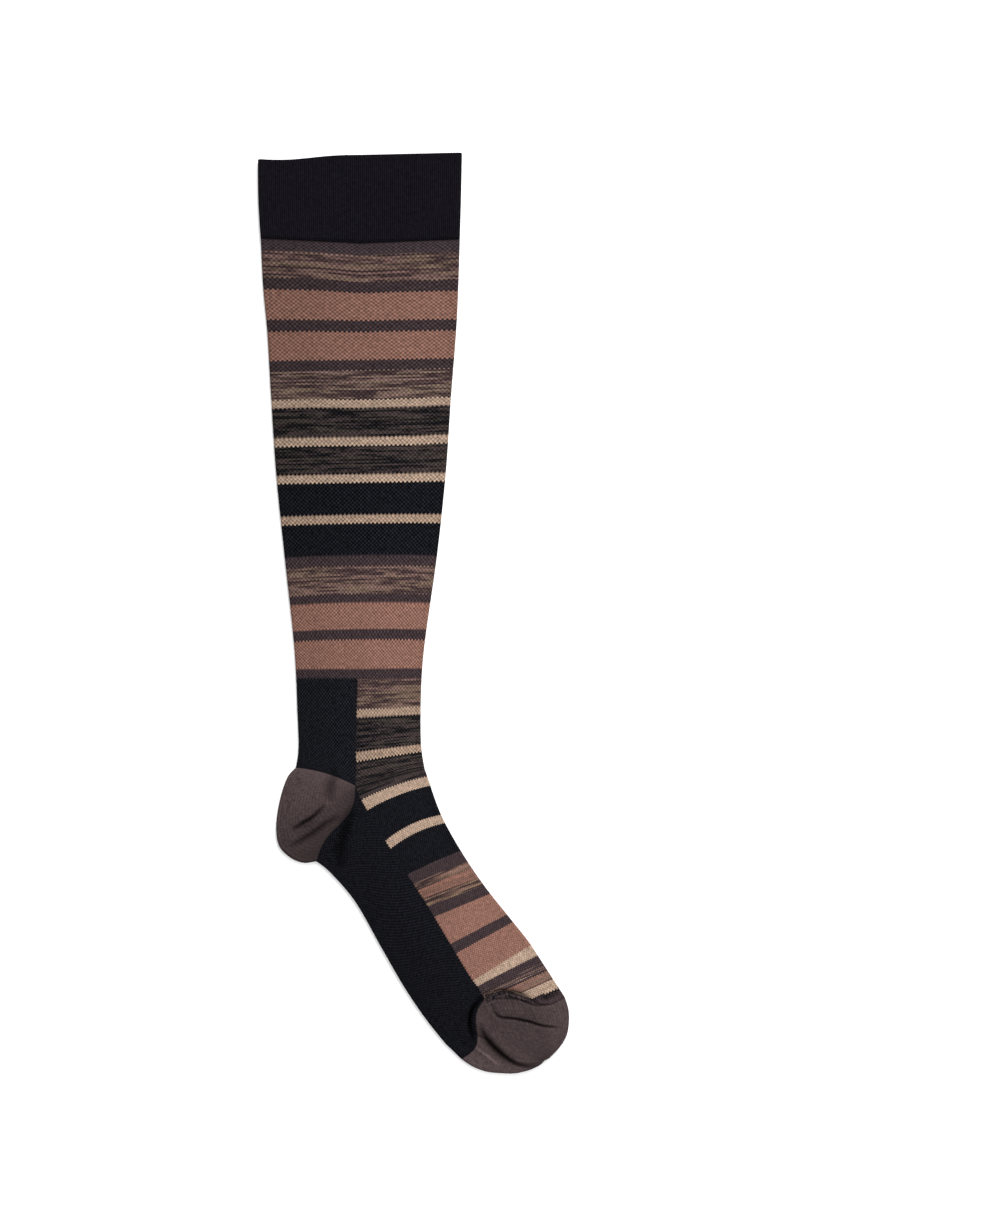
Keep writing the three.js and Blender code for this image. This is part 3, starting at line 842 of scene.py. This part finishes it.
class Knit:
    """Where each point lies in the knit: its wale and course, and a wave over each that repeats every few."""

    def __init__(self, g, run_length, pitch, repeat=PLAIN_REPEAT):
        self.around, along, _ = g.add("SeparateXYZ", [g.add("UVMap", uv_map="knit").outputs[0]]).outputs
        self.wale = g.times(self.around, float(WALES))
        off_front = g.math("ABSOLUTE", g.math("SUBTRACT", g.times(self.around, 2.0), 1.0))
        self.across = g.math("SUBTRACT", 1.0, off_front)
        self.run = g.times(along, run_length)
        self.course = g.math("DIVIDE", self.run, pitch)
        self.by_wale = g.math("COSINE", g.times(self.wale, 2 * math.pi / repeat))
        self.by_course = g.math("COSINE", g.times(self.course, 2 * math.pi / repeat))
        self.row = g.math("FLOOR", g.plus(self.course, 0.5))
        whole_wale = g.math("FLOOR", g.plus(self.wale, 0.5))
        self.stitch = g.add("TexWhiteNoise", [g.vector(whole_wale, self.row)]).outputs[0]
        self.grain = self.cloud(g, 0.45, 0.0)

    def loops(self, g):
        """Relief of plain stitches, from 0 to 1: each is a small V of two legs."""
        side = g.math("ABSOLUTE", g.math("SUBTRACT", g.times(g.math("FRACT", self.wale), 2.0), 1.0))
        leg = g.plus(self.course, g.times(side, 0.55))
        rows = g.plus(g.times(g.math("COSINE", g.times(leg, 2 * math.pi)), 0.5), 0.5)
        groove = g.math("SINE", g.times(side, math.pi))
        return g.times(g.plus(rows, 0.6), g.plus(g.times(groove, 0.5), 0.5))

    def along(self, g, scale, step, seed):
        """Noise that runs along each course and starts anew in the next."""
        place = g.plus(g.times(self.wale, scale), g.times(self.row, step))
        return g.noise(g.vector(place, g.plus(self.row, seed)))

    def streaks(self, g, scale):
        """Marl: in each course the second yarn shows for a length of a few stitches to a few dozen."""
        long, short = self.along(g, scale, 7.3, 0.5), self.along(g, scale * 3.2, 5.7, 90.5)
        return g.step(g.plus(g.times(long, 0.6), g.times(short, 0.4)), 0.42, 0.58)

    def cloud(self, g, scale, detail=3.0):
        """A slow change of tone, from about 0 to 1."""
        return g.noise(g.vector(g.times(self.wale, scale), g.times(self.course, scale)), detail, 0.6)

    def behind(self, g):
        """1 on the back half of the leg or the sole half of the foot, 0 on the front half."""
        off_front = g.math("ABSOLUTE", g.math("SUBTRACT", self.wale, WALES / 2))
        return g.math("GREATER_THAN", g.plus(off_front, g.times(self.by_course, 0.45)), QUARTER)

    def tone(self, g):
        """Slow change of tone over the cloth: painted light and shade from fold to fold, darkest at the back
        fold, and a tone a little uneven all over.
        """
        return g.times(g.level(self.across, PAINTED_LIGHT_FOLD_TO_FOLD), g.between(self.cloud(g, 0.04), 1.02, 1.28))


def striped(g, knit, stripes, run_length, share, scale):
    """The stripes' colour: their first yarn, with the second one in streaks along the courses, now warmer,
    now more olive."""
    starts = [0.0] + [end / run_length for end, _, _ in stripes[:-1]]
    first = g.ramp(share, [(s, linear(a)) for s, (_, a, _) in zip(starts, stripes)], constant=True)
    second = g.ramp(share, [(s, linear(b)) for s, (_, _, b) in zip(starts, stripes)], constant=True)
    marled = g.ramp(share, [(s, (float(a != b),) * 3 + (1.0,)) for s, (_, a, b) in zip(starts, stripes)],
                    constant=True)
    hue = g.step(knit.along(g, scale, 3.1, 200.5), 0.42, 0.58)
    second = g.mix(hue, g.tint(second, (1.04, 0.96, 1.02)), g.tint(second, (0.97, 1.02, 0.9)))
    return g.mix(g.times(g.add("RGBToBW", [marled]).outputs[0], knit.streaks(g, scale)), first, second)


def dotted(g, knit, colour, dot, strength, rough):
    """Light dots and dark holes, some stitches lighter or darker than others. The dots stand out most in very
    dark and in very pale yarn."""
    light_yarn = g.add("RGBToBW", [colour]).outputs[0]
    pale = g.step(light_yarn, 0.005, 0.03)
    palest = g.step(light_yarn, 0.09, 0.17)
    reach = g.between(palest, strength, strength * 0.85)
    light = g.between(dot, g.math("SUBTRACT", 1.0, reach), g.plus(reach, 1.0))
    dark = g.between(g.math("POWER", dot, 1.6), 1.0 - 1.5 * strength, 1.0 + 2.3 * strength)
    spread = g.times(g.between(pale, 1.7, g.between(palest, 1.0, 1.2)), rough)
    stitch = g.times(g.math("SUBTRACT", knit.stitch, 0.5), spread)
    grain = g.times(g.math("SUBTRACT", knit.grain, 0.5), spread, 2.2)
    hole = g.tint(colour, (1.0, 0.9, 0.88))
    tone = g.times(g.between(pale, dark, light), g.plus(stitch, grain, 1.0))
    return g.shade(g.mix(dot, hole, colour), tone)


def leg_material():
    """Bird's-eye knit: light and dark stitches by turns, in stripes that are black behind above the heel."""
    g = Graph("birdseye_knit")
    knit = Knit(g, LEG_LENGTH, LEG_PITCH, LEG_DOT_REPEAT)
    toothed = g.plus(knit.run, g.times(knit.by_wale, 0.5))
    colour = striped(g, knit, LEG_STRIPES, LEG_LENGTH, g.math("DIVIDE", toothed, LEG_LENGTH), LEG_MARL)
    below = g.math("GREATER_THAN", toothed, BACK_PANEL_FROM)
    colour = g.mix(g.times(knit.behind(g), below), colour, linear(BLACK_BEHIND))
    # Painted light: the colour is darker near the cuff and full further down, and below it is also multiplied
    # by the painted light from fold to fold
    length = g.level(g.math("DIVIDE", knit.run, LEG_LENGTH), PAINTED_LIGHT_DOWN_LEG)
    dot = g.plus(0.5, g.times(knit.by_wale, 0.03), g.times(knit.by_wale, knit.by_course, 0.45))
    dot = g.step(dot, 0.1, 0.9)
    colour = g.shade(dotted(g, knit, colour, dot, *LEG_DOTS), g.times(knit.tone(g), length))
    return g.finish(colour, g.plus(dot, g.times(knit.loops(g), 0.3)), LEG_RELIEF)


def foot_material():
    """Plain jersey, black on the sole half and striped on the instep half."""
    g = Graph("jersey_with_instep_stripes")
    knit = Knit(g, FOOT_LENGTH, FOOT_PITCH)
    share = g.math("DIVIDE", g.plus(knit.run, g.times(knit.by_wale, 0.25)), FOOT_LENGTH)
    colour = striped(g, knit, FOOT_STRIPES, FOOT_LENGTH, share, FOOT_MARL)
    colour = g.mix(knit.behind(g), colour, linear(BLACK))
    dot = g.plus(0.5, g.times(knit.by_wale, 0.1), g.times(knit.by_wale, knit.by_course, 0.38))
    # Painted light from fold to fold, times the light of the whole foot, is multiplied into the colour
    colour = g.shade(dotted(g, knit, colour, dot, *FOOT_DOTS), g.times(knit.tone(g), FOOT_LIGHT))
    return g.finish(colour, g.plus(dot, g.times(knit.loops(g), 0.5)), FOOT_RELIEF)


def jersey(g, knit, yarn):
    """Colour and relief of fine plain jersey."""
    dot = g.plus(0.5, g.times(knit.by_wale, 0.1), g.times(knit.by_course, 0.04),
                 g.times(knit.by_wale, knit.by_course, 0.16))
    mottle = g.between(knit.cloud(g, 0.5, 4.0), 0.9, 1.1)
    uneven = g.times(mottle, g.between(knit.cloud(g, 0.1), 0.85, 1.15))
    colour = g.shade(dotted(g, knit, yarn, dot, *POUCH_DOTS), uneven)
    return colour, g.plus(dot, g.times(knit.loops(g), 0.3))


def heel_material():
    """Taupe jersey, with painted shade that darkens it towards the sole."""
    g = Graph("heel_jersey")
    knit = Knit(g, HEEL_RUN, POUCH_PITCH)
    colour, relief = jersey(g, knit, g.plain(POUCH))
    # Painted shade: darker round the heel towards the sole, times the light of the whole heel
    down = g.level(g.math("DIVIDE", knit.run, HEEL_RUN), PAINTED_SHADE_ROUND_HEEL)
    return g.finish(g.shade(colour, g.times(down, HEEL_LIGHT)), relief, POUCH_RELIEF)


def toe_material():
    """Taupe jersey, with a short dark strip along its seam, and painted light and shade across it."""
    g = Graph("toe_jersey")
    knit = Knit(g, TOE_RUN, POUCH_PITCH)
    strip = g.times(g.step(knit.run, 3.2, 2.4), g.step(knit.wale, QUARTER, QUARTER + 1),
                    g.step(knit.wale, 84.0, 76.0))
    yarn = g.mix(g.times(strip, g.step(knit.cloud(g, 0.5), 0.6, 0.4)), linear(POUCH), linear(BLACK))
    colour, relief = jersey(g, knit, yarn)
    # Painted light across the toe: lighter near both folds, darker in between
    return g.finish(g.shade(colour, g.level(knit.across, PAINTED_LIGHT_ACROSS_TOE)), relief, POUCH_RELIEF)


def cuff_material():
    """Black elastic rib with a fine groove between wales."""
    g = Graph("ribbed_welt")
    knit = Knit(g, CUFF_LENGTH, LEG_PITCH)
    fine = g.math("COSINE", g.times(knit.wale, 2 * math.pi))
    dot = g.plus(0.5, g.times(fine, 0.3), g.times(knit.by_wale, knit.by_course, 0.15))
    tone = g.between(knit.cloud(g, 0.06), 0.8, 1.1)
    colour = g.shade(dotted(g, knit, g.plain(CUFF_BLACK), dot, *CUFF_DOTS), tone)
    return g.finish(colour, g.plus(g.times(fine, 0.5), g.times(knit.loops(g), 0.6)), CUFF_RELIEF)


# The stage, in metres and watts: half width of the floor, its drop below the stocking, how much light its
# paper sends back, where the two lamps are and how strong, their width, and the light of the surround
FLOOR_REACH = 3.0
FLOOR_DROP = 0.0002
PAPER = 0.9
KEY_LAMP = ((1.0, 2.9, 2.5), 185.0)
SIDE_LAMP = ((3.0, -0.4, 2.9), 52.0)
LAMP_WIDTH = 1.8
SURROUND_LIGHT = 1.08


def area_light(name, place, energy):
    """A round soft light that faces the middle of the floor."""
    lamp = bpy.data.lights.new(name, "AREA")
    lamp.shape = "DISK"
    lamp.size = LAMP_WIDTH
    lamp.energy = energy
    light = bpy.data.objects.new(name, lamp)
    light.location = place
    light.rotation_euler = (-Vector(place)).to_track_quat("-Z", "Y").to_euler()
    bpy.context.scene.collection.objects.link(light)


def floor_and_light():
    """A white floor, soft lights from beyond the cuff and from the right, and a white surround."""
    reach = FLOOR_REACH
    mesh = bpy.data.meshes.new("floor")
    mesh.from_pydata([(-reach, -reach, 0), (reach, -reach, 0), (reach, reach, 0), (-reach, reach, 0)], [],
                     [(0, 1, 2, 3)])
    floor = bpy.data.objects.new("floor", mesh)
    floor.location.z = -FLOOR_DROP
    bpy.context.scene.collection.objects.link(floor)
    paper = bpy.data.materials.new("white_paper")
    paper.use_nodes = True
    shader = paper.node_tree.nodes["Principled BSDF"]
    shader.inputs["Base Color"].default_value = (PAPER, PAPER, PAPER, 1.0)
    shader.inputs["Roughness"].default_value = 0.9
    mesh.materials.append(paper)

    area_light("key", *KEY_LAMP)
    area_light("side", *SIDE_LAMP)

    world = bpy.data.worlds.new("surround")
    world.use_nodes = True
    background = world.node_tree.nodes["Background"]
    background.inputs["Color"].default_value = (1.0, 1.0, 1.0, 1.0)
    background.inputs["Strength"].default_value = SURROUND_LIGHT
    bpy.context.scene.world = world
    bpy.context.scene.view_settings.view_transform = "Standard"


def camera():
    """Looks straight down on the middle of the photograph's frame."""
    lens = bpy.data.cameras.new("camera")
    lens.lens = LENS
    lens.sensor_width = SENSOR
    eye = bpy.data.objects.new("camera", lens)
    middle_x = (PHOTO_SIZE[0] / 2 - ORIGIN_PIXEL[0]) * PIXEL * MM
    middle_y = (ORIGIN_PIXEL[1] - PHOTO_SIZE[1] / 2) * PIXEL * MM
    height = PHOTO_SIZE[1] * PIXEL * MM * LENS / SENSOR
    eye.location = (middle_x, middle_y, height)
    bpy.context.scene.collection.objects.link(eye)
    bpy.context.scene.camera = eye


def dress(piece, node, material):
    piece.data.materials.append(material)
    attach(piece, "root")
    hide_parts(node)


floor_and_light()
camera()

cuff, leg, heel, foot, toe = make_cuff(), make_leg(), make_heel(), make_foot(), make_toe()
dress(cuff, "cuff", cuff_material())
dress(leg, "leg", leg_material())
dress(heel, "heel", heel_material())
dress(foot, "foot", foot_material())
dress(toe, "toe", toe_material())
